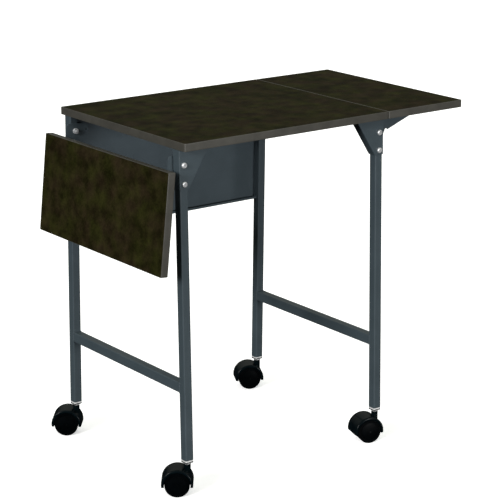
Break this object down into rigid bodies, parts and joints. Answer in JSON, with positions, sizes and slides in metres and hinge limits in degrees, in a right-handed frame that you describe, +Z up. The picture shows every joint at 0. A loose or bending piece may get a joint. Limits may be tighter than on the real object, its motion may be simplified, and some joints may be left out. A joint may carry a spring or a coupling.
{
  "type": "mobile printer stand",
  "caption": "Wheeled printer stand with a laminated top, a drop leaf at each end, square-tube legs, a rear panel and hooded twin-wheel swivel casters.",
  "frame": {"origin": "on the floor, at the middle of the stand's footprint (bounding box bottom centre, rounded to whole millimetres)", "axes": "+X from the hanging left leaf to the raised right leaf, +Y from the open front to the rear panel, +Z up"},
  "size_m": [0.79, 0.503, 0.734],
  "materials": {
    "laminate": "dark olive granite-pattern laminate, semi-matte",
    "edge_band": "grey-brown plastic edging, satin",
    "frame_paint": "charcoal blue-grey powder coat, satin",
    "zinc": "bright zinc plate",
    "bright_metal": "bright plated",
    "nylon": "natural nylon",
    "caster_wheel": "black moulded nylon",
    "caster_plastic": "black moulded nylon, satin"
  },
  "bodies": {
    "stand": {"caster_sockets": "caster_plastic", "caster_stems": "bright_metal", "frame_bolts": "zinc", "grip_rings": "zinc", "gusset_left": "frame_paint", "gusset_right": "frame_paint", "leg_ferrules": "bright_metal", "leg_front_left": "frame_paint", "leg_front_right": "frame_paint", "leg_rear_left": "frame_paint", "leg_rear_right": "frame_paint", "lock_nuts": "zinc", "pivot_spacer_washers": "nylon", "pivot_washers": "zinc", "rear_panel": "frame_paint", "stop_spacers": "zinc", "stretcher_left": "frame_paint", "stretcher_right": "frame_paint", "top_board": "laminate", "top_edge_band": "edge_band", "top_screws": "zinc"},
    "left_leaf": {"left_leaf_board": "laminate", "left_leaf_edge_band": "edge_band", "left_leaf_front_arm": "frame_paint", "left_leaf_rear_arm": "frame_paint", "left_leaf_screws": "zinc"},
    "right_leaf": {"right_leaf_board": "laminate", "right_leaf_edge_band": "edge_band", "right_leaf_front_arm": "frame_paint", "right_leaf_rear_arm": "frame_paint", "right_leaf_screws": "zinc"},
    "caster_front_left": {"caster_axle_front_left": "bright_metal", "caster_hood_front_left": "caster_plastic"},
    "caster_front_right": {"caster_axle_front_right": "bright_metal", "caster_hood_front_right": "caster_plastic"},
    "caster_rear_left": {"caster_axle_rear_left": "bright_metal", "caster_hood_rear_left": "caster_plastic"},
    "caster_rear_right": {"caster_axle_rear_right": "bright_metal", "caster_hood_rear_right": "caster_plastic"},
    "wheel_front_left_a": {"caster_wheel_front_left_a": "caster_wheel"},
    "wheel_front_left_b": {"caster_wheel_front_left_b": "caster_wheel"},
    "wheel_front_right_a": {"caster_wheel_front_right_a": "caster_wheel"},
    "wheel_front_right_b": {"caster_wheel_front_right_b": "caster_wheel"},
    "wheel_rear_left_a": {"caster_wheel_rear_left_a": "caster_wheel"},
    "wheel_rear_left_b": {"caster_wheel_rear_left_b": "caster_wheel"},
    "wheel_rear_right_a": {"caster_wheel_rear_right_a": "caster_wheel"},
    "wheel_rear_right_b": {"caster_wheel_rear_right_b": "caster_wheel"}
  },
  "joints": [
    {"name": "left_leaf_hinge", "type": "hinge", "parent": "stand", "child": "left_leaf", "pos_m": [-0.3275, -0.0095, 0.6875], "axis": [0, 1, 0], "range_deg": [0, 84]},
    {"name": "right_leaf_hinge", "type": "hinge", "parent": "stand", "child": "right_leaf", "pos_m": [0.1745, -0.0095, 0.6875], "axis": [0, 1, 0], "range_deg": [0, 84]},
    {"name": "front_left_swivel", "type": "hinge", "parent": "stand", "child": "caster_front_left", "pos_m": [-0.3275, -0.2225, 0.06], "axis": [0, 0, 1], "continuous": true},
    {"name": "front_right_swivel", "type": "hinge", "parent": "stand", "child": "caster_front_right", "pos_m": [0.1745, -0.2225, 0.06], "axis": [0, 0, 1], "continuous": true},
    {"name": "rear_left_swivel", "type": "hinge", "parent": "stand", "child": "caster_rear_left", "pos_m": [-0.3275, 0.2035, 0.06], "axis": [0, 0, 1], "continuous": true},
    {"name": "rear_right_swivel", "type": "hinge", "parent": "stand", "child": "caster_rear_right", "pos_m": [0.1745, 0.2035, 0.06], "axis": [0, 0, 1], "continuous": true},
    {"name": "front_left_wheel_a_spin", "type": "hinge", "parent": "caster_front_left", "child": "wheel_front_left_a", "pos_m": [-0.34387, -0.21016, 0.026], "axis": [-0.6018, -0.7986, 0], "continuous": true},
    {"name": "front_left_wheel_b_spin", "type": "hinge", "parent": "caster_front_left", "child": "wheel_front_left_b", "pos_m": [-0.34387, -0.21016, 0.026], "axis": [-0.6018, -0.7986, 0], "continuous": true},
    {"name": "front_right_wheel_a_spin", "type": "hinge", "parent": "caster_front_right", "child": "wheel_front_right_a", "pos_m": [0.1549, -0.21651, 0.026], "axis": [-0.2924, -0.9563, 0], "continuous": true},
    {"name": "front_right_wheel_b_spin", "type": "hinge", "parent": "caster_front_right", "child": "wheel_front_right_b", "pos_m": [0.1549, -0.21651, 0.026], "axis": [-0.2924, -0.9563, 0], "continuous": true},
    {"name": "rear_left_wheel_a_spin", "type": "hinge", "parent": "caster_rear_left", "child": "wheel_rear_left_a", "pos_m": [-0.34343, 0.2164, 0.026], "axis": [-0.6293, -0.7771, 0], "continuous": true},
    {"name": "rear_left_wheel_b_spin", "type": "hinge", "parent": "caster_rear_left", "child": "wheel_rear_left_b", "pos_m": [-0.34343, 0.2164, 0.026], "axis": [-0.6293, -0.7771, 0], "continuous": true},
    {"name": "rear_right_wheel_a_spin", "type": "hinge", "parent": "caster_rear_right", "child": "wheel_rear_right_a", "pos_m": [0.1564, 0.21312, 0.026], "axis": [-0.4695, -0.8829, 0], "continuous": true},
    {"name": "rear_right_wheel_b_spin", "type": "hinge", "parent": "caster_rear_right", "child": "wheel_rear_right_b", "pos_m": [0.1564, 0.21312, 0.026], "axis": [-0.4695, -0.8829, 0], "continuous": true}
  ]
}
